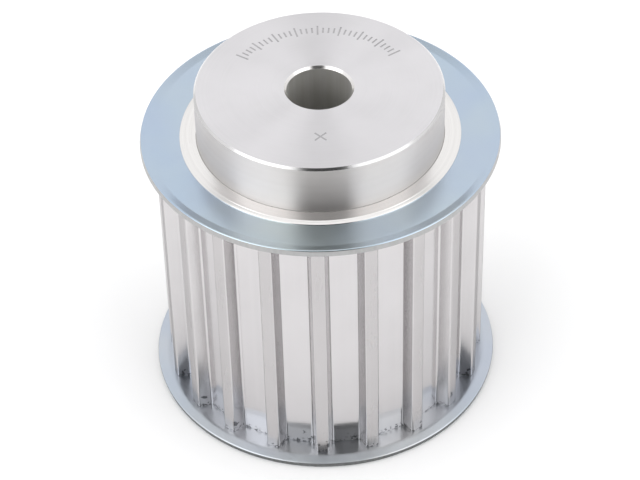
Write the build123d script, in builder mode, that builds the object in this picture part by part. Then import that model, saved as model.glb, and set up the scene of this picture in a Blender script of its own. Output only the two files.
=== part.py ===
"""Timing belt pulley with an integral hub and two pressed steel flanges, in millimetres.

The pulley stands on its rear face with its bore along +Z. The origin is the centre of the bore
in the rear plane, where the rear face and the rim of the rear flange both end.
A tooth gap is centred on +X.
"""

import math
import os

from build123d import *

# Belt and teeth
belt_pitch = 10.0
tooth_count = 20
pitch_line_height = 0.93  # from the tooth tips out to the belt's pitch line
gap_depth = 2.6
gap_floor_width = 5.1
gap_flank_angle = 25.0  # each flank against the gap's centre line
gap_floor_round = 0.4
tooth_tip_round = 0.4

# Pulley lengths along the bore
rim_width = 56.0  # over both flange rims
hub_length = 10.0  # the hub stands this far out of the rim

# Hub and bore
hub_diameter = 46.0
hub_edge_chamfer = 0.4
hub_root_fillet = 0.25
bore_diameter = 12.0
bore_chamfer = 0.45

# Flanges: pressed rings of thin sheet, dished away from the belt
flange_diameter = 67.0
flange_hole_diameter = 51.0
flange_sheet = 1.25
flange_dish_angle = 15.0
flange_dish_rise = 0.4  # height of the rim over the flat of the ring
flange_bend_radius = 1.5  # on the inside of the bend
flange_edge_round = 0.3
flange_hole_edge_round = 0.12

# Lips of the body, rolled outwards over the flanges
lip_diameter = 52.2
lip_crown_diameter = 50.6  # where the lip's flat top starts to roll over
rolling_groove_diameter = 48.6  # ring that the roller leaves in the rear face
rolling_groove_depth = 0.35

# Derived sizes
pitch_diameter = belt_pitch * tooth_count / math.pi
tip_radius = pitch_diameter / 2 - pitch_line_height
gap_floor_radius = tip_radius - gap_depth
total_length = rim_width + hub_length
hub_radius = hub_diameter / 2
bore_radius = bore_diameter / 2
spigot_radius = flange_hole_diameter / 2
lip_radius = lip_diameter / 2
lip_crown_radius = lip_crown_diameter / 2
lip_thickness = flange_dish_rise  # the lip ends level with the flange's rim
seat_depth = lip_thickness + flange_sheet  # from either end plane down to the teeth
toothed_width = rim_width - 2 * seat_depth
middle_plane = Plane.XY.offset(rim_width / 2)


def gap_outline():
    """Corners of one tooth gap on +X, run out past the tooth tips so that it cuts cleanly."""
    mouth_radius = tip_radius + gap_depth
    floor_half = gap_floor_width / 2
    mouth_half = floor_half + (mouth_radius - gap_floor_radius) * math.tan(math.radians(gap_flank_angle))
    return [
        (gap_floor_radius, -floor_half),
        (mouth_radius, -mouth_half),
        (mouth_radius, mouth_half),
        (gap_floor_radius, floor_half),
    ]


def rolled_lip(end, inward):
    """Draws a lip's section from the flat of the end face to the foot of its spigot.

    end is the height of the end face, and inward is +1 or -1, the way into the pulley.
    """
    crown = (lip_crown_radius, end)
    edge = (lip_radius, end + inward * lip_thickness)
    TangentArc(crown, edge, tangent=(1, 0))
    Polyline(
        edge,
        (spigot_radius, end + inward * lip_thickness),
        (spigot_radius, end + inward * seat_depth),
    )


# Toothed body: teeth, hub, spigots and lips are one turned and hobbed piece
with BuildPart() as toothed_body:
    # Teeth
    with BuildSketch(Plane.XY.offset(seat_depth)) as tooth_section:
        Circle(tip_radius)
        with PolarLocations(0, tooth_count):
            Polygon(*gap_outline(), align=None, mode=Mode.SUBTRACT)
        fillet(tooth_section.vertices().group_by(SortBy.DISTANCE)[0], gap_floor_round)
        fillet(tooth_section.vertices().group_by(SortBy.DISTANCE)[-1], tooth_tip_round)
    extrude(amount=toothed_width)

    # Turned outline of the rear spigot, the hub-side spigot and the hub
    with BuildSketch(Plane.XZ):
        with BuildLine():
            groove_half = rolling_groove_depth
            groove_radius = rolling_groove_diameter / 2
            Polyline(
                (0, 0),
                (groove_radius - groove_half, 0),
                (groove_radius, rolling_groove_depth),
                (groove_radius + groove_half, 0),
                (lip_crown_radius, 0),
            )
            rolled_lip(0, 1)
            Line((spigot_radius, seat_depth), (spigot_radius, rim_width - seat_depth))
            rolled_lip(rim_width, -1)
            Polyline(
                (lip_crown_radius, rim_width),
                (hub_radius, rim_width),
                (hub_radius, total_length),
                (0, total_length),
                (0, 0),
            )
        make_face()
    revolve(axis=Axis.Z)

    # Hub edge and root
    ring_edges = toothed_body.edges().filter_by(GeomType.CIRCLE)
    hub_edges = ring_edges.filter_by(lambda edge: abs(edge.radius - hub_radius) < 0.01)
    chamfer(hub_edges.sort_by(Axis.Z)[-1], hub_edge_chamfer)
    ring_edges = toothed_body.edges().filter_by(GeomType.CIRCLE)
    hub_edges = ring_edges.filter_by(lambda edge: abs(edge.radius - hub_radius) < 0.01)
    fillet(hub_edges.sort_by(Axis.Z)[0], hub_root_fillet)

    # Bore, chamfered at both mouths
    with Locations((0, 0, total_length)):
        Hole(bore_radius)
    bore_edges = (
        toothed_body.edges()
        .filter_by(GeomType.CIRCLE)
        .filter_by(lambda edge: abs(edge.radius - bore_radius) < 0.01)
    )
    chamfer(bore_edges, bore_chamfer)

# Hub-side flange: sheet ring on the upper spigot, dished upwards at its rim
with BuildPart() as hub_side_flange:
    with BuildSketch(Plane.XZ) as flange_section:
        seat = rim_width - seat_depth
        top = seat + flange_sheet
        slope = math.radians(flange_dish_angle)
        # Rounding the leaning rim would take this much off its reach and its height
        round_loss = flange_edge_round * (math.sin(slope) + math.cos(slope) - 1)
        rise = flange_dish_rise + round_loss
        rim_radius = flange_diameter / 2 + round_loss
        upper_rim_radius = rim_radius - flange_sheet * math.sin(slope)
        upper_bend_radius = upper_rim_radius - rise / math.tan(slope)
        lower_bend_radius = upper_bend_radius + flange_sheet * math.tan(slope / 2)
        with BuildLine():
            Polyline(
                (spigot_radius, seat),
                (lower_bend_radius, seat),
                (rim_radius, top + rise - flange_sheet * math.cos(slope)),
                (upper_rim_radius, top + rise),
                (upper_bend_radius, top),
                (spigot_radius, top),
                close=True,
            )
        make_face()
        corners = flange_section.vertices().sort_by(Axis.X)
        hole_corners, bend_corners, rim_corners = corners[:2], corners[2:4], corners[4:]
        fillet(rim_corners, flange_edge_round)
        fillet(bend_corners.sort_by(Axis.Y)[-1], flange_bend_radius)
        fillet(bend_corners.sort_by(Axis.Y)[0], flange_bend_radius + flange_sheet)
        fillet(hole_corners, flange_hole_edge_round)
    revolve(axis=Axis.Z)

# Rear flange: the same ring, turned over on the rear spigot
with BuildPart() as rear_flange:
    mirror(hub_side_flange.part, about=middle_plane)

toothed_body.part.label = "toothed_body"
hub_side_flange.part.label = "hub_side_flange"
rear_flange.part.label = "rear_flange"

os.makedirs("parts", exist_ok=True)
for piece in (toothed_body.part, hub_side_flange.part, rear_flange.part):
    export_step(piece, f"parts/{piece.label}.step")
    size = piece.bounding_box().size
    print(f"{piece.label}: {piece.volume:.0f} mm3, {size.X:.2f} x {size.Y:.2f} x {size.Z:.2f} mm")
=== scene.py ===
import math

import bpy
import bmesh
from mathutils import Matrix, Vector


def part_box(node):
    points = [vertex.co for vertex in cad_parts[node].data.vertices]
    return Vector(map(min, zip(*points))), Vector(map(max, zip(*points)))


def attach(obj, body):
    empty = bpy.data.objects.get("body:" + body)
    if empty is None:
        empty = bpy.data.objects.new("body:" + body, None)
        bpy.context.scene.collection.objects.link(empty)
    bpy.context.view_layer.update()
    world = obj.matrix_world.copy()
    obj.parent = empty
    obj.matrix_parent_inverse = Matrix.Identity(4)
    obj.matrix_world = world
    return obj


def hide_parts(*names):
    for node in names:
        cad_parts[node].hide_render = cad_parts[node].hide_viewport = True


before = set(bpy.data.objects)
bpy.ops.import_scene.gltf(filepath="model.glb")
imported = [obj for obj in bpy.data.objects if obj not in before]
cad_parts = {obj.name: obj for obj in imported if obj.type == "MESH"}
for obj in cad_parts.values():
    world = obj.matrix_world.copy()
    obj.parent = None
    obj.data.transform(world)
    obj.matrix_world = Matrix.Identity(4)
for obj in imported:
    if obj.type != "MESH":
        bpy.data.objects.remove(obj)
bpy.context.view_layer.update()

bodyLow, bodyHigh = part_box("toothed_body")
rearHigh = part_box("rear_flange")[1]
hubSideLow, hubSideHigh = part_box("hub_side_flange")
mm = 0.001
print("Frame loaded, pulley height", round((bodyHigh.z - bodyLow.z) / mm, 2), "mm")


# Camera: from the front, a little to the left and well above

camera = {
    "azimuth": -6.95,
    "elevation": 42.42,
    "roll": 1.53,
    "distance": 0.4603,
    "lens": 135.1,
    "sensor": 36.0,
    "aimHeight": (bodyLow.z + bodyHigh.z) / 2,
    "slideRight": 0.00049,
    "slideUp": 0.0035,
}


def viewDirections(azimuth, elevation):
    # right, up and back of someone looking at the pulley from there
    turn, lift = math.radians(azimuth), math.radians(elevation)
    right = Vector((math.cos(turn), math.sin(turn), 0))
    back = Vector((math.sin(turn) * math.cos(lift), -math.cos(turn) * math.cos(lift), math.sin(lift)))
    return right, back.cross(right), back


def addCamera():
    right, up, back = viewDirections(camera["azimuth"], camera["elevation"])
    roll = math.radians(camera["roll"])
    cameraRight = right * math.cos(roll) - up * math.sin(roll)
    cameraUp = right * math.sin(roll) + up * math.cos(roll)
    place = Vector((0, 0, camera["aimHeight"])) + back * camera["distance"]
    place -= cameraRight * camera["slideRight"] + cameraUp * camera["slideUp"]
    data = bpy.data.cameras.new("camera")
    data.sensor_width = camera["sensor"]
    data.lens = camera["lens"]
    data.clip_start = 0.01
    seen = bpy.data.objects.new("camera", data)
    axes = Matrix((cameraRight, cameraUp, back)).transposed()
    seen.matrix_world = Matrix.Translation(place) @ axes.to_4x4()
    bpy.context.scene.collection.objects.link(seen)
    bpy.context.scene.camera = seen


addCamera()
print("Camera placed")


# Outlines: corners are (x, y, rounding radius)

def roundedOutline(corners, closed, steps=4, support=0.04 * mm):
    # each rounded corner becomes an arc, held flat on both sides by a point a little way off, and the
    # smallest ones are one straight step
    points = []
    count = len(corners)
    for index, (x, y, radius) in enumerate(corners):
        here = Vector((x, y))
        if radius == 0 or (not closed and index in (0, count - 1)):
            points.append(here)
            continue
        before = (Vector(corners[index - 1][:2]) - here).normalized()
        after = (Vector(corners[(index + 1) % count][:2]) - here).normalized()
        half = before.angle(after) / 2
        reach = radius / math.tan(half)
        centre = here + (before + after).normalized() * (radius / math.sin(half))
        start, end = here + before * reach, here + after * reach
        if radius < support:
            points += [start, end]
            continue
        sweep = (start - centre).angle_signed(end - centre)
        points.append(start + before * support)
        for step in range(steps + 1):
            spoke = start - centre
            spoke.rotate(Matrix.Rotation(-sweep * step / steps, 2))
            points.append(centre + spoke)
        points.append(end + after * support)
    return points


def newMesh(name, points, faces):
    data = bpy.data.meshes.new(name)
    data.from_pydata([tuple(point) for point in points], [], faces)
    data.validate()
    data.update()
    made = bpy.data.objects.new(name, data)
    bpy.context.scene.collection.objects.link(made)
    return made


def loftRows(name, rows):
    # the rows run round a closed section, and each row runs round the bore
    width = len(rows[0])
    points = [point for row in rows for point in row]
    faces = []
    for row in range(len(rows)):
        here, there = row * width, (row + 1) % len(rows) * width
        for column in range(width - 1):
            corner = here + column
            faces.append((corner, there + column, there + column + 1, corner + 1))
    return newMesh(name, points, faces)


# Geometry Nodes tree that repeats one sector all the way round the bore

def addInput(tree, name, kind, default=None):
    socket = tree.interface.new_socket(name, in_out="INPUT", socket_type=kind)
    if default is not None:
        socket.default_value = default
    return socket


def repeatRoundTree():
    tree = bpy.data.node_groups.new("repeat round the bore", "GeometryNodeTree")
    addInput(tree, "Sector", "NodeSocketGeometry")
    addInput(tree, "Count", "NodeSocketInt", 20)
    addInput(tree, "Weld Distance", "NodeSocketFloat", 0.001 * mm)
    addInput(tree, "Material", "NodeSocketMaterial")
    tree.interface.new_socket("Ring", in_out="OUTPUT", socket_type="NodeSocketGeometry")
    node = tree.nodes.new
    link = tree.links.new
    given, result = node("NodeGroupInput"), node("NodeGroupOutput")
    line = node("GeometryNodeMeshLine")
    line.inputs["Offset"].default_value = (0, 0, 0)
    link(given.outputs["Count"], line.inputs["Count"])
    index = node("GeometryNodeInputIndex")
    share = node("ShaderNodeMath")
    share.operation = "DIVIDE"
    link(index.outputs[0], share.inputs[0])
    link(given.outputs["Count"], share.inputs[1])
    turn = node("ShaderNodeMath")
    turn.operation = "MULTIPLY"
    turn.inputs[1].default_value = 2 * math.pi
    link(share.outputs[0], turn.inputs[0])
    rotation = node("ShaderNodeCombineXYZ")
    link(turn.outputs[0], rotation.inputs["Z"])
    copies = node("GeometryNodeInstanceOnPoints")
    link(line.outputs[0], copies.inputs["Points"])
    link(given.outputs["Sector"], copies.inputs["Instance"])
    link(rotation.outputs[0], copies.inputs["Rotation"])
    realize = node("GeometryNodeRealizeInstances")
    link(copies.outputs[0], realize.inputs[0])
    weld = node("GeometryNodeMergeByDistance")
    link(realize.outputs[0], weld.inputs["Geometry"])
    link(given.outputs["Weld Distance"], weld.inputs["Distance"])
    paint = node("GeometryNodeSetMaterial")
    link(weld.outputs[0], paint.inputs["Geometry"])
    link(given.outputs["Material"], paint.inputs["Material"])
    link(paint.outputs[0], result.inputs[0])
    return tree


def setInput(modifier, name, value):
    for item in modifier.node_group.interface.items_tree:
        if item.item_type == "SOCKET" and item.in_out == "INPUT" and item.name == name:
            modifier[item.identifier] = value


def applyModifiers(piece):
    # keeps the evaluated shape as a plain mesh
    graph = bpy.context.evaluated_depsgraph_get()
    made = bpy.data.meshes.new_from_object(piece.evaluated_get(graph))
    piece.modifiers.clear()
    piece.data = made
    made.name = piece.name


def repeatRound(sector, count, material):
    modifier = sector.modifiers.new("repeat", "NODES")
    modifier.node_group = roundTree
    setInput(modifier, "Count", count)
    setInput(modifier, "Material", material)
    applyModifiers(sector)
    sector.data.materials.clear()
    sector.data.materials.append(material)


def shadeByAngle(piece, degrees):
    piece.data.shade_smooth()
    piece.data.set_sharp_from_angle(angle=math.radians(degrees))


roundTree = repeatRoundTree()


# Materials

noiseMiddle = (0.3, 0.7)  # nearly all of a noise lies between these


def newMaterial(name, settings):
    # edgeShare dims the reflections at a glancing angle, and blurTurn turns the blur, in whole turns
    material = bpy.data.materials.new(name)
    material.use_nodes = True
    shader = material.node_tree.nodes["Principled BSDF"]
    shader.inputs["Metallic"].default_value = 1
    edge = settings["edgeShare"]
    shader.inputs["Specular Tint"].default_value = (edge, edge, edge, 1)
    shader.inputs["Anisotropic"].default_value = settings["anisotropy"]
    shader.inputs["Anisotropic Rotation"].default_value = settings["blurTurn"]
    return material, shader


def mathNode(tree, operation, first, second=None, third=None):
    made = tree.nodes.new("ShaderNodeMath")
    made.operation = operation
    for slot, value in enumerate((first, second, third)):
        if value is None:
            continue
        if isinstance(value, (int, float)):
            made.inputs[slot].default_value = value
        else:
            tree.links.new(value, made.inputs[slot])
    return made.outputs[0]


def noiseAt(tree, place, scale, detail=2.0, roughness=0.5):
    noise = tree.nodes.new("ShaderNodeTexNoise")
    noise.inputs["Scale"].default_value = scale
    noise.inputs["Detail"].default_value = detail
    noise.inputs["Roughness"].default_value = roughness
    tree.links.new(place, noise.inputs["Vector"])
    return noise.outputs["Fac"]


def remap(tree, value, low, high):
    # stretches the middle of a noise over the range from low to high
    made = tree.nodes.new("ShaderNodeMapRange")
    made.inputs["From Min"].default_value, made.inputs["From Max"].default_value = noiseMiddle
    made.inputs["To Min"].default_value = low
    made.inputs["To Max"].default_value = high
    tree.links.new(value, made.inputs["Value"])
    return made.outputs["Result"]


def mixColours(tree, factor, first, second):
    made = tree.nodes.new("ShaderNodeMix")
    made.data_type = "RGBA"
    slots = {"Factor": factor, "A": first, "B": second}
    for name, value in slots.items():
        socket = next(s for s in made.inputs if s.name == name and s.enabled)
        if isinstance(value, (tuple, float, int)):
            socket.default_value = (*value, 1) if isinstance(value, tuple) else value
        else:
            tree.links.new(value, socket)
    return next(s for s in made.outputs if s.enabled)


def roundCoordinates(tree):
    # object place, its distance from the bore's axis, its angle round it and its height
    place = tree.nodes.new("ShaderNodeTexCoord").outputs["Object"]
    split = tree.nodes.new("ShaderNodeSeparateXYZ")
    tree.links.new(place, split.inputs[0])
    x, y, z = split.outputs
    reach = mathNode(tree, "SQRT", mathNode(tree, "ADD", mathNode(tree, "MULTIPLY", x, x),
                                            mathNode(tree, "MULTIPLY", y, y)))
    angle = mathNode(tree, "ARCTAN2", y, x)
    return place, x, y, z, reach, angle


def combine(tree, x, y, z):
    made = tree.nodes.new("ShaderNodeCombineXYZ")
    for slot, value in enumerate((x, y, z)):
        if isinstance(value, (int, float)):
            made.inputs[slot].default_value = value
        else:
            tree.links.new(value, made.inputs[slot])
    return made.outputs[0]


def radialTangent(tree, shader):
    tangent = tree.nodes.new("ShaderNodeTangent")
    tangent.direction_type = "RADIAL"
    tangent.axis = "Z"
    tree.links.new(tangent.outputs[0], shader.inputs["Tangent"])


def bump(tree, shader, height, strength, distance):
    made = tree.nodes.new("ShaderNodeBump")
    made.inputs["Strength"].default_value = strength
    made.inputs["Distance"].default_value = distance
    tree.links.new(height, made.inputs["Height"])
    tree.links.new(made.outputs[0], shader.inputs["Normal"])


finishes = {
    "turned face": {
        "colour": (0.835, 0.82, 0.843), "worn": (0.785, 0.772, 0.79), "roughness": (0.28, 0.34),
        "edgeShare": 1, "anisotropy": 0.95, "blurTurn": 0.25,
        "lines": "rings", "lineScale": 2600, "lineDepth": 0.002 * mm,
    },
    "turned wall": {
        "colour": (0.765, 0.739, 0.727), "worn": (0.705, 0.677, 0.662), "roughness": (0.38, 0.42),
        "edgeShare": 0.8, "anisotropy": 1.0, "blurTurn": 0.25,
        "lines": "bands", "lineScale": 650, "lineDepth": 0,
    },
    "rolled lip": {
        "colour": (0.98, 0.966, 0.956), "worn": (0.86, 0.842, 0.83), "roughness": (0.16, 0.2),
        "edgeShare": 1, "anisotropy": 0.6, "blurTurn": 0.25,
        "lines": "rings", "lineScale": 1900, "lineDepth": 0.001 * mm,
    },
    "bright chamfer": {
        "colour": (0.74, 0.735, 0.74), "worn": (0.7, 0.695, 0.695), "roughness": (0.12, 0.16),
        "edgeShare": 1, "anisotropy": 0.3, "blurTurn": 0.25,
        "lines": "bands", "lineScale": 900, "lineDepth": 0,
    },
    "tooth tip": {
        "colour": (0.555, 0.538, 0.542), "worn": (0.52, 0.503, 0.507), "roughness": (0.22, 0.3),
        "edgeShare": 0.65, "anisotropy": 0.4, "blurTurn": 0.25,
        "lines": "along", "lineScale": 1400, "lineDepth": 0.001 * mm,
    },
    "gap floor": {
        "colour": (0.645, 0.628, 0.635), "worn": (0.61, 0.593, 0.6), "roughness": (0.12, 0.16),
        "edgeShare": 0.65, "anisotropy": 0.3, "blurTurn": 0.0,
        "lines": "along", "lineScale": 1400, "lineDepth": 0.001 * mm,
    },
    "gap flank": {
        "colour": (0.65, 0.634, 0.638), "worn": (0.61, 0.595, 0.6), "roughness": (0.2, 0.26),
        "edgeShare": 1, "anisotropy": 0.3, "blurTurn": 0.0,
        "lines": "along", "lineScale": 1400, "lineDepth": 0.001 * mm,
    },
    "drilled bore": {
        "colour": (0.84, 0.83, 0.83), "worn": (0.6, 0.592, 0.56), "roughness": (0.6, 0.7),
        "edgeShare": 0.7, "anisotropy": 0.1, "blurTurn": 0.25,
        "lines": "along", "lineScale": 420, "lineDepth": 0.003 * mm,
    },
    # painted shade: a dark copy of the aluminium on the small corner at the foot of the hub, standing in for
    # the shade in that crease
    "painted root shade": {
        "colour": (0.33, 0.32, 0.31), "worn": (0.27, 0.26, 0.25), "roughness": (0.35, 0.45),
        "edgeShare": 1, "anisotropy": 0.0, "blurTurn": 0.0,
        "lines": "bands", "lineScale": 900, "lineDepth": 0,
    },
    "etched mark": {
        "colour": (0.58, 0.57, 0.585), "worn": (0.48, 0.475, 0.48), "roughness": (0.5, 0.65),
        "edgeShare": 1, "anisotropy": 0.0, "blurTurn": 0.0,
        "lines": "along", "lineScale": 9000, "lineDepth": 0.004 * mm,
    },
}
toolMarks = {
    "drift": 0.00002,  # how fast a ring or band wanders as it goes round
    "runOut": 0.004,  # how fast a line along the bore breaks up
    "ringDetail": 3,
    "bandDetail": 1,
    "strength": 0.25,
    "stainScale": 90,
    "evenlyWorn": ("drilled bore", "rolled lip"),
    "grimy": ("tooth tip", "gap floor", "gap flank"),
}
grime = {
    "colour": (0.1, 0.1, 0.105),
    "specks": {"scale": 2300, "reach": 1.1 * mm, "rarity": 0.6},
    "smears": {"scale": 400, "reach": 3.8 * mm, "rarity": 0.67},
    "footPull": 0.1,
    "sharpness": 25,
    "darkest": 0.85,
}


def grimeShare(tree, place, z):
    # dark specks along the foot of the teeth, and a few smears that climb higher
    shares = []
    for kind in (grime["specks"], grime["smears"]):
        height = mathNode(tree, "SUBTRACT", z, rearHigh.z)
        low = mathNode(tree, "SUBTRACT", 1, mathNode(tree, "DIVIDE", height, kind["reach"]))
        spots = noiseAt(tree, place, kind["scale"], 3, 0.6)
        spots = mathNode(tree, "MULTIPLY_ADD", mathNode(tree, "MAXIMUM", low, 0), grime["footPull"], spots)
        rare = mathNode(tree, "MAXIMUM", mathNode(tree, "SUBTRACT", spots, kind["rarity"]), 0)
        dark = mathNode(tree, "MULTIPLY", rare, grime["sharpness"])
        dark = mathNode(tree, "MINIMUM", dark, grime["darkest"])
        shares.append(mathNode(tree, "MULTIPLY", dark, mathNode(tree, "GREATER_THAN", low, 0)))
    return mathNode(tree, "MAXIMUM", *shares)


def aluminium(name):
    settings = finishes[name]
    material, shader = newMaterial(name, settings)
    tree = material.node_tree
    place, x, y, z, reach, angle = roundCoordinates(tree)
    if settings["lines"] == "along":
        across = combine(tree, x, y, mathNode(tree, "MULTIPLY", z, toolMarks["runOut"]))
    else:
        station = reach if settings["lines"] == "rings" else z
        across = combine(tree, station, mathNode(tree, "MULTIPLY", angle, toolMarks["drift"]), 0)
    detail = toolMarks["bandDetail"] if settings["lines"] == "bands" else toolMarks["ringDetail"]
    lines = noiseAt(tree, across, settings["lineScale"], detail, 0.6)
    stain = noiseAt(tree, place, toolMarks["stainScale"], 3, 0.55)
    worn = remap(tree, lines, 0.4, 1)
    if name not in toolMarks["evenlyWorn"]:
        worn = mathNode(tree, "MULTIPLY", remap(tree, stain, 0, 1), worn)
    tinted = mixColours(tree, worn, settings["colour"], settings["worn"])
    if name in toolMarks["grimy"]:
        tinted = mixColours(tree, grimeShare(tree, place, z), tinted, grime["colour"])
    tree.links.new(tinted, shader.inputs["Base Color"])
    marked = mathNode(tree, "MULTIPLY", mathNode(tree, "ADD", lines, stain), 0.5)
    tree.links.new(remap(tree, marked, *settings["roughness"]), shader.inputs["Roughness"])
    radialTangent(tree, shader)
    if settings["lineDepth"]:
        bump(tree, shader, lines, toolMarks["strength"], settings["lineDepth"])
    return material


zincPlate = {
    "blue": {
        "colour": (0.50, 0.61, 0.745), "lilac": (0.51, 0.595, 0.745), "straw": (0.60, 0.688, 0.712),
        "roughness": (0.22, 0.27),
    },
    "grey": {
        "colour": (0.55, 0.61, 0.69), "lilac": (0.56, 0.605, 0.69), "straw": (0.68, 0.695, 0.695),
        "roughness": (0.28, 0.34),
    },
    "lilacScale": 40,
    "strawScale": 55,
    "strawShare": (0.1, 0.7),
    # painted reflection: the swing and its turn put the most straw where the flange faces the camera and
    # directly away from it, and less at the sides between; the noise patches of straw are the plating's own
    "paintedTintSwing": -0.3,  # more straw on two opposite sides, less between them
    "paintedTintTurn": 14,
    "grainScale": 400,
    "bumpScale": 700,
    "bumpStrength": 0.03,
    "bumpDepth": 0.003 * mm,
    "anisotropy": 0.2,
    "edgeShare": 0.85,
    "blurTurn": 0.25,
}
cutEdge = {
    "bright": {"colour": (0.47, 0.47, 0.472), "torn": (0.42, 0.42, 0.42)},
    # the second set of colours is painted shade: a much darker copy of the cut steel for the rear flange's
    # rim, standing in for the floor's shadow mirrored in it
    "painted shadow": {"colour": (0.2, 0.208, 0.208), "torn": (0.15, 0.155, 0.155)},
    "roughness": (0.3, 0.4),
    "tearScale": 2500,
    "tearLean": 0.1,
    "tearStrength": 0.3,
    "tearDepth": 0.01 * mm,
    "edgeShare": 1,
    "anisotropy": 0.0,
    "blurTurn": 0.0,
}


def zincPlated(name, shade):
    material, shader = newMaterial(name, zincPlate)
    tree = material.node_tree
    place, x, y, z, _, angle = roundCoordinates(tree)
    tints = zincPlate[shade]
    lilac = noiseAt(tree, place, zincPlate["lilacScale"])
    patches = noiseAt(tree, combine(tree, y, x, z), zincPlate["strawScale"])
    tinted = mixColours(tree, remap(tree, lilac, 0, 1), tints["colour"], tints["lilac"])
    # painted reflection: the cosine swing adds straw where the flange faces the camera and away from it, on
    # top of the plating's own straw patches
    twice = mathNode(tree, "MULTIPLY_ADD", angle, 2, math.radians(zincPlate["paintedTintTurn"]))
    straw = mathNode(tree, "MULTIPLY_ADD", mathNode(tree, "COSINE", twice), zincPlate["paintedTintSwing"],
                     remap(tree, patches, *zincPlate["strawShare"]))
    tinted = mixColours(tree, straw, tinted, tints["straw"])
    tree.links.new(tinted, shader.inputs["Base Color"])
    grain = noiseAt(tree, place, zincPlate["grainScale"], 3, 0.6)
    tree.links.new(remap(tree, grain, *tints["roughness"]), shader.inputs["Roughness"])
    radialTangent(tree, shader)
    dents = noiseAt(tree, place, zincPlate["bumpScale"], 3, 0.6)
    bump(tree, shader, dents, zincPlate["bumpStrength"], zincPlate["bumpDepth"])
    return material


def shearedEdge(name, shade):
    material, shader = newMaterial(name, cutEdge)
    tree = material.node_tree
    _, x, y, z, _, _ = roundCoordinates(tree)
    across = combine(tree, x, y, mathNode(tree, "MULTIPLY", z, cutEdge["tearLean"]))
    tears = noiseAt(tree, across, cutEdge["tearScale"], 3, 0.6)
    tints = cutEdge[shade]
    tinted = mixColours(tree, remap(tree, tears, 0, 1), tints["colour"], tints["torn"])
    tree.links.new(tinted, shader.inputs["Base Color"])
    tree.links.new(remap(tree, tears, *cutEdge["roughness"]), shader.inputs["Roughness"])
    bump(tree, shader, tears, cutEdge["tearStrength"], cutEdge["tearDepth"])
    return material


materials = {name: aluminium(name) for name in finishes}
for shade in ("blue", "grey"):
    materials[shade + " zinc"] = zincPlated(shade + " zinc", shade)
for shade in ("bright", "painted shadow"):
    materials[shade + " edge"] = shearedEdge(shade + " edge", shade)
print("Materials:", ", ".join(materials))


# Toothed body: one pitch of its skin, lofted round a turned section and repeated for every tooth

pulley = {
    "teeth": 20,
    "tipRadius": 30.9 * mm,
    "gapFloorRadius": 28.3 * mm,
    "gapFloorWidth": 5.1 * mm,
    "gapFlankAngle": 25,
    "gapRound": 0.4 * mm,
    "hubRadius": 23 * mm,
    "hubEdgeChamfer": 0.4 * mm,
    "boreRadius": 6 * mm,
    "boreChamfer": 0.45 * mm,
    "spigotRadius": 25.5 * mm,
    "lipRadius": 26.1 * mm,
    "crownRadius": 25.25 * mm,
    "crownStep": 0.09 * mm,
    "crownStepWidth": 0.17 * mm,
    "crownFall": 0.25 * mm,
    "crownRound": 0.02 * mm,
    "lipThickness": 0.39 * mm,
    "lipUndercut": 0.35 * mm,
    "lipBreak": 0.03 * mm,
    "lipBreakRound": 0.01 * mm,
    "seatDepth": 1.65 * mm,
    "rootCorner": 0.09 * mm,
    "rollerGrooveRadius": 24.3 * mm,
    "rollerGrooveDepth": 0.35 * mm,
    "rollerGrooveRound": 0.08 * mm,
    "toothEndBreak": 0.03 * mm,
    "edgeRound": 0.06 * mm,
    "landStations": (0.5, 0.75, 1.0),
    "creaseAngle": 35,
}


def toothOutline():
    # half a gap from its middle to the middle of the tooth, then its mirror image in front
    floor = Vector((pulley["gapFloorRadius"], pulley["gapFloorWidth"] / 2))
    flank = math.radians(pulley["gapFlankAngle"])
    direction = Vector((math.cos(flank), math.sin(flank)))
    along = floor.dot(direction)
    climb = math.sqrt(along ** 2 - floor.length_squared + pulley["tipRadius"] ** 2) - along
    tip = floor + direction * climb
    tipAngle, landMiddle = math.atan2(tip.y, tip.x), math.pi / pulley["teeth"]
    corners = [(floor.x, 0, 0), (floor.x, floor.y / 2, 0), (*floor, pulley["gapRound"])]
    corners.append((*tip, pulley["gapRound"]))
    for share in pulley["landStations"]:
        angle = tipAngle + (landMiddle - tipAngle) * share
        corners.append((pulley["tipRadius"] * math.cos(angle), pulley["tipRadius"] * math.sin(angle), 0))
    half = roundedOutline(corners, closed=False)
    return [Vector((point.x, -point.y)) for point in reversed(half[1:])] + half


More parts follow.
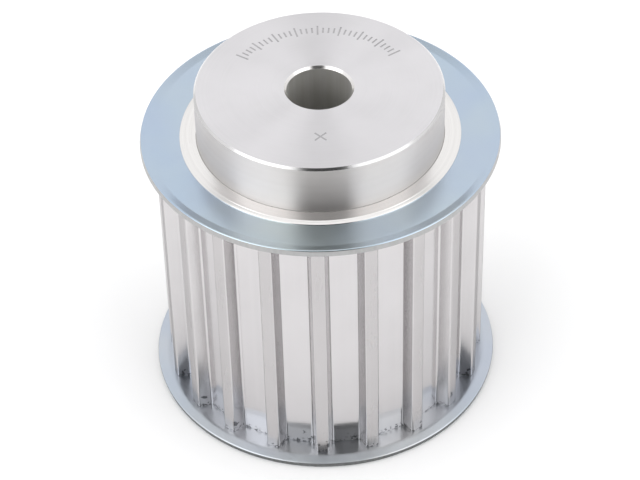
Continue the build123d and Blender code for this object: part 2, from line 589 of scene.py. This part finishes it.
def turnedSection():
    # the body's section as stations: (radius, height), or (None, height, inset) along the teeth
    top, rim, rear = bodyHigh.z, hubSideHigh.z, bodyLow.z
    bore, hub, spigot, lip = (pulley[key] for key in ("boreRadius", "hubRadius", "spigotRadius", "lipRadius"))
    edge, boreCut, hubCut = (pulley[key] for key in ("edgeRound", "boreChamfer", "hubEdgeChamfer"))
    crown, step, fall, soft = (pulley[key] for key in ("crownRadius", "crownStep", "crownFall", "crownRound"))
    under, inner, nick, nickRound = (
        pulley[key] for key in ("lipThickness", "lipUndercut", "lipBreak", "lipBreakRound")
    )
    corner, seat, stepEnd = pulley["rootCorner"], pulley["seatDepth"], crown + pulley["crownStepWidth"]
    hubEnd = [
        (bore, (top + rear) / 2, 0), (bore, top - boreCut, edge), (bore + boreCut, top, edge),
        (hub - hubCut, top, edge), (hub, top - hubCut, edge),
        (hub, rim + corner, soft), (hub + corner, rim, soft),
        (crown, rim, soft), (stepEnd, rim - step, soft),
        (lip - nick, rim - fall, nickRound), (lip, rim - fall - nick, nickRound),
        (lip, rim - under, 0), (lip - inner, rim - under, 0),
        (spigot, rim - under, 0), (spigot, rim - seat, 0),
    ]
    roller, deep, easy = (
        pulley[key] for key in ("rollerGrooveRadius", "rollerGrooveDepth", "rollerGrooveRound")
    )
    rearEnd = [
        (spigot, rear + seat, 0), (spigot, rear + under, 0),
        (lip - inner, rear + under, 0), (lip, rear + under, 0),
        (lip, rear + fall + nick, nickRound), (lip - nick, rear + fall, nickRound),
        (stepEnd, rear + step, soft), (crown, rear, edge),
        (roller + deep, rear, easy), (roller, rear + deep, easy), (roller - deep, rear, easy),
        (bore + boreCut, rear, edge), (bore, rear + boreCut, edge), (bore, rear + 2 * boreCut, 0),
    ]
    upper, lower = (
        [(point.x, point.y) for point in roundedOutline(end, closed=False)] for end in (hubEnd, rearEnd)
    )
    teethTop, teethRear, inset = rim - seat, rear + seat, pulley["toothEndBreak"]
    teeth = [
        (None, teethTop, inset), (None, teethTop - inset, 0), (None, teethTop - 2 * inset, 0),
        (None, teethRear + 2 * inset, 0), (None, teethRear + inset, 0), (None, teethRear, inset),
    ]
    return upper + teeth + lower


def buildBodySector():
    outline = toothOutline()
    rows = []
    for radius, height, *inset in turnedSection():
        if radius is None:
            rows.append([(*(point - point.normalized() * inset[0]), height) for point in outline])
        else:
            rows.append([(*(point.normalized() * radius), height) for point in outline])
    return loftRows("toothed_body_skin", rows)


def finishFaces(piece, chooser):
    names, indices = [], []
    for face in piece.data.polygons:
        name = chooser(face)
        if name not in names:
            names.append(name)
        indices.append(names.index(name))
    piece.data.materials.clear()
    for name in names:
        piece.data.materials.append(materials[name])
    piece.data.polygons.foreach_set("material_index", indices)


finishLimits = {
    "slack": 0.01 * mm,
    "tipBand": 0.2 * mm,
    "boreBand": 0.0225 * mm,
    "etchDepths": (0.1, 1.1),
    "etchBand": (7.8 * mm, 20.7 * mm),
    "sloped": (0.2, 0.95),  # from here on: how much of a face's normal points away from the bore
    "faced": 0.4,
    "flank": 0.85,
}


def within(value, limits):
    return limits[0] < value < limits[1]


def bodyFinish(face):
    reach, height = face.center.xy.length, face.center.z
    outwards = abs(face.normal.xy.dot(face.center.xy.normalized()))
    sloped = within(outwards, finishLimits["sloped"])
    bore, hub, slack = pulley["boreRadius"], pulley["hubRadius"], finishLimits["slack"]
    depths = (bodyHigh.z - height) / etching["depth"]
    if within(depths, finishLimits["etchDepths"]) and within(reach, finishLimits["etchBand"]):
        return "etched mark"
    if reach < bore + finishLimits["boreBand"]:
        return "drilled bore"
    if reach > pulley["lipRadius"] and within(height, (rearHigh.z - slack, hubSideLow.z + slack)):
        if outwards < finishLimits["flank"]:
            return "gap flank"
        return "tooth tip" if reach > pulley["tipRadius"] - finishLimits["tipBand"] else "gap floor"
    # the small corner at the foot of the hub gets the dark aluminium that is painted shade
    if sloped and within(reach - hub, (0, pulley["rootCorner"])):
        return "painted root shade"
    if sloped and reach < bore + pulley["boreChamfer"]:
        return "rolled lip"
    if sloped and reach < hub:
        return "bright chamfer"
    if reach > hub and height < hubSideHigh.z + slack:
        return "rolled lip"
    return "turned face" if outwards < finishLimits["faced"] else "turned wall"


def buildBody():
    body = buildBodySector()
    repeatRound(body, pulley["teeth"], materials["turned face"])
    etchMarks(body)
    finishFaces(body, bodyFinish)
    shadeByAngle(body, pulley["creaseAngle"])
    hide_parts("toothed_body")
    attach(body, "root")
    print("Body:", len(body.data.polygons), "faces")


# Etched marks on the hub's face: an arc of graduation ticks and a small cross, cut in

etching = {
    "depth": 0.05 * mm,
    "ringRadius": 17 * mm,
    "ticks": 33,
    "spanDegrees": 112,
    "middleDegrees": camera["azimuth"] + 90,
    "tickLength": 1.5 * mm,
    "longTickLength": 2.7 * mm,
    "longEvery": 4,
    "tickWidth": 0.32 * mm,
    "crossRadius": 14 * mm,
    "crossDegrees": camera["azimuth"] - 90,
    "crossSize": 2.9 * mm,
}


def tickTree():
    tree = bpy.data.node_groups.new("ticks on an arc", "GeometryNodeTree")
    addInput(tree, "Tick", "NodeSocketGeometry")
    addInput(tree, "Count", "NodeSocketInt", 30)
    addInput(tree, "Radius", "NodeSocketFloat", 0.015)
    addInput(tree, "First Angle", "NodeSocketFloat", 0.0)
    addInput(tree, "Step Angle", "NodeSocketFloat", 0.1)
    addInput(tree, "Long Every", "NodeSocketInt", 5)
    addInput(tree, "Long Stretch", "NodeSocketFloat", 1.5)
    addInput(tree, "Material", "NodeSocketMaterial")
    tree.interface.new_socket("Ticks", in_out="OUTPUT", socket_type="NodeSocketGeometry")
    node, link = tree.nodes.new, tree.links.new
    given, result = node("NodeGroupInput"), node("NodeGroupOutput")
    line = node("GeometryNodeMeshLine")
    line.inputs["Offset"].default_value = (0, 0, 0)
    link(given.outputs["Count"], line.inputs["Count"])
    index = node("GeometryNodeInputIndex").outputs[0]
    angle = mathNode(tree, "ADD", given.outputs["First Angle"],
                     mathNode(tree, "MULTIPLY", index, given.outputs["Step Angle"]))
    radius = given.outputs["Radius"]
    x = mathNode(tree, "MULTIPLY", mathNode(tree, "COSINE", angle), radius)
    y = mathNode(tree, "MULTIPLY", mathNode(tree, "SINE", angle), radius)
    move = node("GeometryNodeSetPosition")
    link(line.outputs[0], move.inputs["Geometry"])
    link(combine(tree, x, y, 0), move.inputs["Position"])
    rest = mathNode(tree, "MODULO", index, given.outputs["Long Every"])
    isLong = mathNode(tree, "LESS_THAN", rest, 0.5)
    extra = mathNode(tree, "SUBTRACT", given.outputs["Long Stretch"], 1)
    stretch = mathNode(tree, "MULTIPLY_ADD", isLong, extra, 1)
    copies = node("GeometryNodeInstanceOnPoints")
    link(move.outputs[0], copies.inputs["Points"])
    link(given.outputs["Tick"], copies.inputs["Instance"])
    link(combine(tree, 0, 0, angle), copies.inputs["Rotation"])
    link(combine(tree, stretch, 1, 1), copies.inputs["Scale"])
    realize = node("GeometryNodeRealizeInstances")
    link(copies.outputs[0], realize.inputs[0])
    paint = node("GeometryNodeSetMaterial")
    link(realize.outputs[0], paint.inputs["Geometry"])
    link(given.outputs["Material"], paint.inputs["Material"])
    link(paint.outputs[0], result.inputs[0])
    return tree


def bar(name, length, width, turn, place):
    # a cutter that stands through the hub's face
    form = bmesh.new()
    bmesh.ops.create_cube(form, size=1)
    bmesh.ops.scale(form, vec=(length, width, 2 * etching["depth"]), verts=form.verts)
    bmesh.ops.rotate(form, cent=(0, 0, 0), matrix=Matrix.Rotation(turn, 3, "Z"), verts=form.verts)
    bmesh.ops.translate(form, vec=place, verts=form.verts)
    made = newMesh(name, [], [])
    form.to_mesh(made.data)
    form.free()
    return made


def cutOut(piece, cutter):
    cut = piece.modifiers.new("cut", "BOOLEAN")
    cut.operation = "DIFFERENCE"
    cut.solver = "MANIFOLD"
    cut.object = cutter
    applyModifiers(piece)
    bpy.data.objects.remove(cutter)


def etchMarks(body):
    face = bodyHigh.z
    ticks = bar("ticks", etching["tickLength"], etching["tickWidth"], 0, (0, 0, face))
    span = math.radians(etching["spanDegrees"])
    modifier = ticks.modifiers.new("ticks", "NODES")
    modifier.node_group = tickTree()
    setInput(modifier, "Count", etching["ticks"])
    setInput(modifier, "Radius", etching["ringRadius"])
    setInput(modifier, "First Angle", math.radians(etching["middleDegrees"]) - span / 2)
    setInput(modifier, "Step Angle", span / (etching["ticks"] - 1))
    setInput(modifier, "Long Every", etching["longEvery"])
    setInput(modifier, "Long Stretch", etching["longTickLength"] / etching["tickLength"])
    setInput(modifier, "Material", materials["turned face"])
    applyModifiers(ticks)
    cutOut(body, ticks)
    middle = math.radians(etching["crossDegrees"])
    centre = (etching["crossRadius"] * math.cos(middle), etching["crossRadius"] * math.sin(middle), face)
    for turn in (math.pi / 4, -math.pi / 4):
        cutOut(body, bar("cross", etching["crossSize"], etching["tickWidth"], middle + turn, centre))


buildBody()


# Flanges: dished sheet rings, lofted as a sector and repeated round the bore

ring = {
    "radius": 33.5 * mm,
    "hole": 25.5 * mm,
    "sheet": 1.25 * mm,
    "dishAngle": 15,
    "dishRise": 0.4 * mm,
    "bendRound": 1.5 * mm,
    "edgeRound": 0.3 * mm,
    "holeEdgeRound": 0.12 * mm,
    "rimBand": 0.45 * mm,
    "rimFacing": 0.8,
    "sectors": 20,
    "columns": 12,
    "creaseAngle": 40,
}


def flangeSection(seat, way):
    # seat is the height of the face that the teeth touch, way is +1 up or -1 down, away from them
    slope = math.radians(ring["dishAngle"])
    loss = ring["edgeRound"] * (math.sin(slope) + math.cos(slope) - 1)
    rise, rim, sheet = ring["dishRise"] + loss, ring["radius"] + loss, ring["sheet"]
    upperRim = rim - sheet * math.sin(slope)
    upperBend = upperRim - rise / math.tan(slope)
    lowerBend = upperBend + sheet * math.tan(slope / 2)
    corners = [
        (ring["hole"], 0, ring["holeEdgeRound"]),
        (ring["hole"], sheet, ring["holeEdgeRound"]),
        (upperBend, sheet, ring["bendRound"]),
        (upperRim, sheet + rise, ring["edgeRound"]),
        (rim, sheet + rise - sheet * math.cos(slope), ring["edgeRound"]),
        (lowerBend, 0, ring["bendRound"] + sheet),
    ]
    section = [Vector((point.x, seat + way * point.y)) for point in roundedOutline(corners, True, steps=6)]
    return section if way > 0 else list(reversed(section))


def flangeFinish(face):
    atRear = face.center.z < rearHigh.z + finishLimits["slack"]
    # the rear flange's cut rim gets the darker copy of the cut steel, which is painted shade
    if face.center.xy.length > ring["radius"] - ring["rimBand"] and face.normal.xy.length > ring["rimFacing"]:
        return "painted shadow edge" if atRear else "bright edge"
    return "grey zinc" if atRear else "blue zinc"


def buildFlange(name, node, seat, way):
    rows = []
    for point in flangeSection(seat, way):
        row = []
        for column in range(ring["columns"] + 1):
            angle = 2 * math.pi / ring["sectors"] * column / ring["columns"]
            row.append((point.x * math.cos(angle), point.x * math.sin(angle), point.y))
        rows.append(row)
    flange = loftRows(name, rows)
    repeatRound(flange, ring["sectors"], materials["blue zinc"])
    finishFaces(flange, flangeFinish)
    shadeByAngle(flange, ring["creaseAngle"])
    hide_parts(node)
    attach(flange, "root")
    print(name, len(flange.data.polygons), "faces")


buildFlange("hub_side_flange_ring", "hub_side_flange", hubSideLow.z, 1)
buildFlange("rear_flange_ring", "rear_flange", rearHigh.z, -1)


# Stage: a pale floor, a white tent with an opening to look in by, and a lamp for the floor

# angles are in degrees, and a pair says where a change begins and where it ends
stage = {
    "floorSize": 6.0,
    "floorColour": (0.97, 0.97, 0.972),
    "floorRoughness": 0.9,
    "tentFront": camera["azimuth"] + 2.5,
    "openingSide": (18, 31),
    "openingFoot": (2, 7),
    "openingHead": (60, 71),
    "openingGlow": 0.07,
    "frontElevation": 47,
    "frontSpread": (57, 68),
    "leftGlow": 1.9,
    "rightGlow": 1.6,
    "sideBlend": (-5, 5),
    "middleGlow": 1.05,
    "middleHalf": (15, 28),
    "backGlow": 0.97,
    "highGlow": 0.6,
    "highStart": (46, 60),
    "lowGlow": 0.82,
    "lowEnd": (8, 24),
    "lampHeight": 1.2,
    "lampSize": 1.5,
    "lampPower": 4.5,
}


def addFloor():
    half = stage["floorSize"] / 2
    corners = [(-half, -half, 0), (half, -half, 0), (half, half, 0), (-half, half, 0)]
    floor = newMesh("floor", corners, [(0, 1, 2, 3)])
    material = bpy.data.materials.new("pale floor")
    material.use_nodes = True
    shader = material.node_tree.nodes["Principled BSDF"]
    shader.inputs["Base Color"].default_value = (*stage["floorColour"], 1)
    shader.inputs["Roughness"].default_value = stage["floorRoughness"]
    shader.inputs["Specular IOR Level"].default_value = 0
    floor.data.materials.append(material)


def smoothStep(tree, value, start, end):
    made = tree.nodes.new("ShaderNodeMapRange")
    made.interpolation_type = "SMOOTHSTEP"
    made.inputs["From Min"].default_value = math.radians(start)
    made.inputs["From Max"].default_value = math.radians(end)
    tree.links.new(value, made.inputs["Value"])
    return made.outputs["Result"]


def blend(tree, share, low, high):
    return mathNode(tree, "MULTIPLY_ADD", share, mathNode(tree, "SUBTRACT", high, low), low)


def addSurround():
    # a white tent: its front is bright to the left and right of a dark opening to look in by, its back
    # is softer and dims towards the roof, and it is dimmer low down all round
    world = bpy.data.worlds.new("surround")
    bpy.context.scene.world = world
    world.use_nodes = True
    tree = world.node_tree
    way = tree.nodes.new("ShaderNodeTexCoord").outputs["Generated"]
    right, up, front = viewDirections(stage["tentFront"], 0)
    sideways, forwards, upwards = (along(tree, way, axis) for axis in (right, front, up))
    azimuth = mathNode(tree, "ABSOLUTE", mathNode(tree, "ARCTAN2", sideways, forwards))
    elevation = mathNode(tree, "ARCSINE", upwards)
    aside = mathNode(tree, "ARCSINE", sideways)
    glow = blend(tree, smoothStep(tree, aside, *stage["sideBlend"]), stage["leftGlow"], stage["rightGlow"])
    glow = blend(tree, smoothStep(tree, mathNode(tree, "ABSOLUTE", aside), *stage["middleHalf"]),
                 stage["middleGlow"], glow)
    high = smoothStep(tree, elevation, *stage["highStart"])
    behind = blend(tree, high, stage["backGlow"], stage["highGlow"])
    centre = viewDirections(stage["tentFront"], stage["frontElevation"])[2]
    fromFront = mathNode(tree, "ARCCOSINE", along(tree, way, centre))
    glow = blend(tree, smoothStep(tree, fromFront, *stage["frontSpread"]), glow, behind)
    glow = blend(tree, smoothStep(tree, elevation, *stage["lowEnd"]), stage["lowGlow"], glow)
    closed = smoothStep(tree, azimuth, *stage["openingSide"])
    closed = mathNode(tree, "MAXIMUM", closed, smoothStep(tree, elevation, *stage["openingHead"]))
    foot = mathNode(tree, "SUBTRACT", 1, smoothStep(tree, elevation, *stage["openingFoot"]))
    glow = blend(tree, mathNode(tree, "MAXIMUM", closed, foot), stage["openingGlow"], glow)
    tree.links.new(glow, tree.nodes["Background"].inputs["Strength"])
    tree.nodes["Background"].inputs["Color"].default_value = (1, 1, 1, 1)


def along(tree, way, axis):
    made = tree.nodes.new("ShaderNodeVectorMath")
    made.operation = "DOT_PRODUCT"
    made.inputs[1].default_value = axis
    tree.links.new(way, made.inputs[0])
    return made.outputs["Value"]


def addLamp():
    # lights the floor only, so that it isn't mirrored in the metal
    data = bpy.data.lights.new("lamp", "AREA")
    data.energy = stage["lampPower"]
    data.size = stage["lampSize"]
    lamp = bpy.data.objects.new("lamp", data)
    lamp.location = (0, 0, stage["lampHeight"])
    lamp.visible_glossy = False
    bpy.context.scene.collection.objects.link(lamp)


addFloor()
addSurround()
addLamp()
bpy.context.scene.view_settings.view_transform = "Standard"
print("Stage ready")
